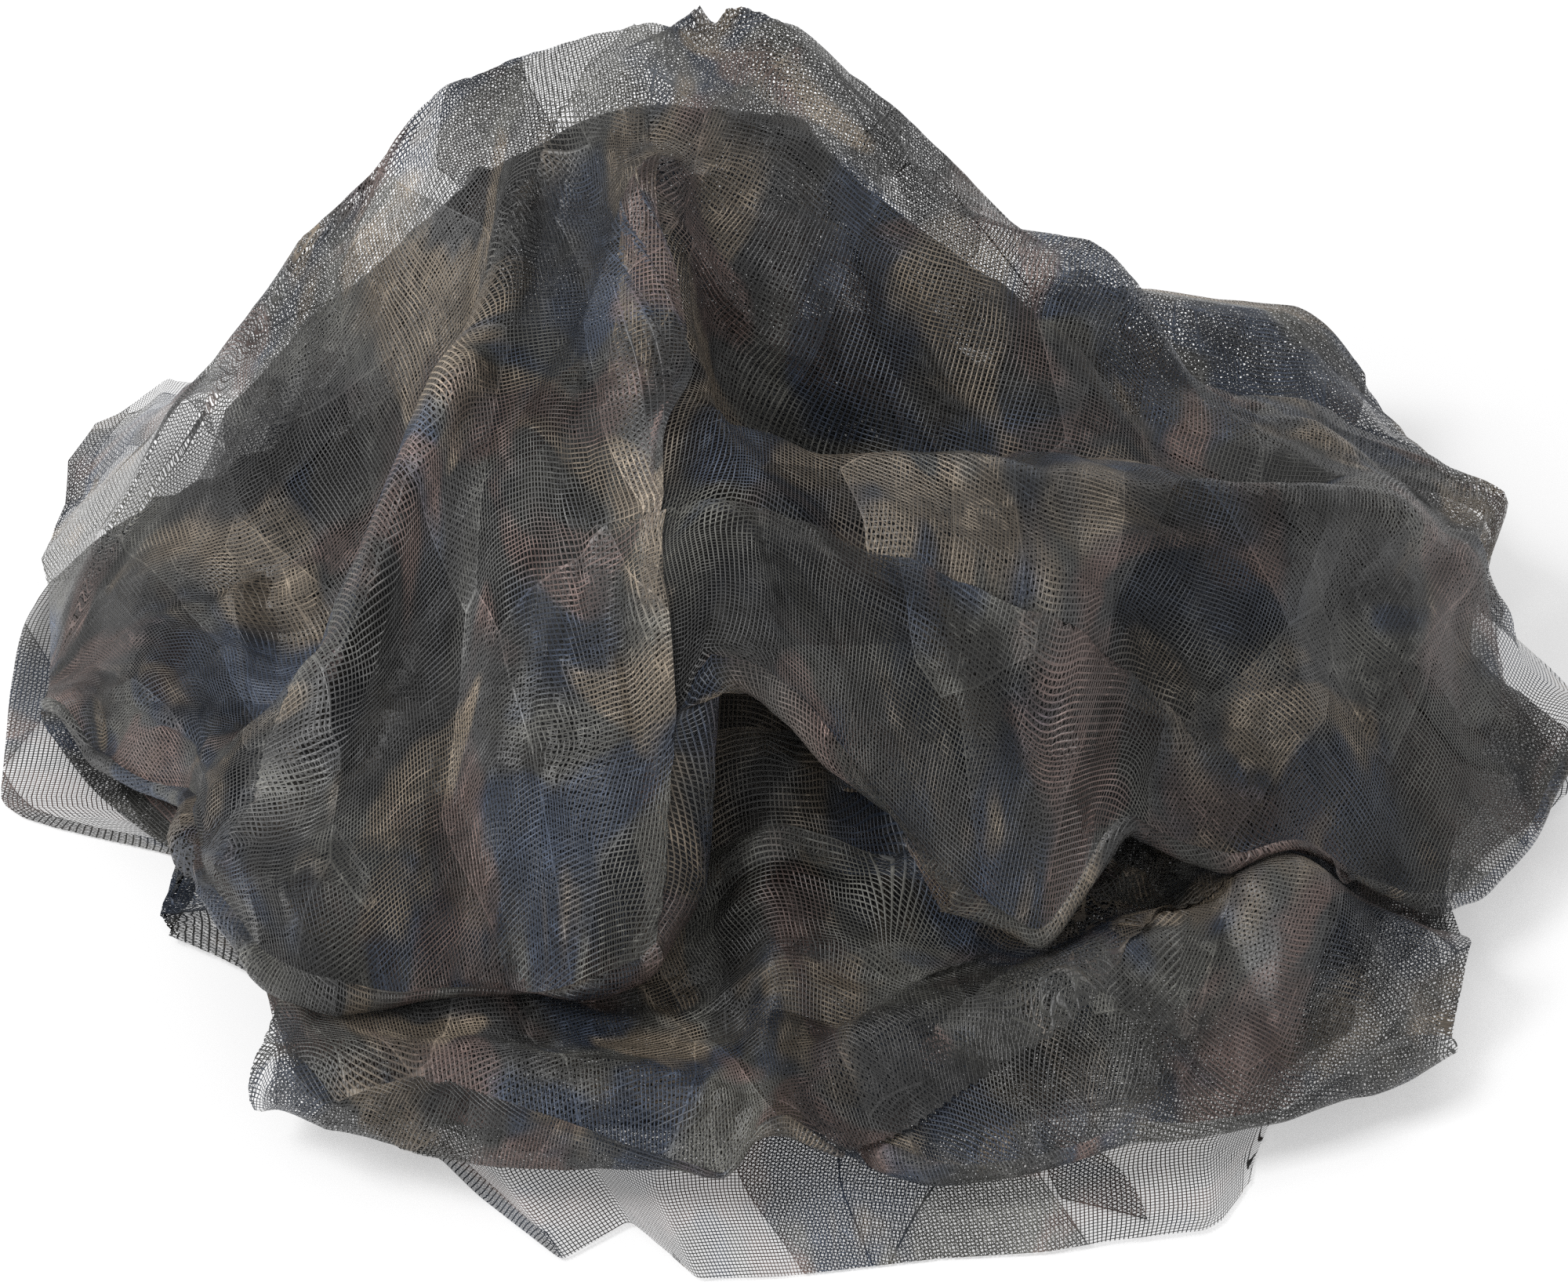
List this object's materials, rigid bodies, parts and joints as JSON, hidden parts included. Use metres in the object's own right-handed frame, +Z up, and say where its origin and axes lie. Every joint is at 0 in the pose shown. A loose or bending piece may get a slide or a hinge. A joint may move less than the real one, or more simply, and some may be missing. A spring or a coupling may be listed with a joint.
{
  "type": "camouflage net heap",
  "caption": "Sheer camouflage net lying in a loose, crumpled heap, folded back and forth over itself, with a draped veil over the top.",
  "frame": {"origin": "centre of the heap's bounding box in plan, on the ground it lies on", "axes": "+X to the right as seen from the front hem, +Y from the front hem to the back, +Z up from the ground"},
  "size_m": [0.6718, 0.5928, 0.2986],
  "materials": {
    "net_mesh": "sheer square-mesh polyester with a dark camouflage print of charcoal, navy, olive-grey, tan and red-brown patches"
  },
  "bodies": {
    "root": {"net": "net_mesh"}
  },
  "joints": []
}
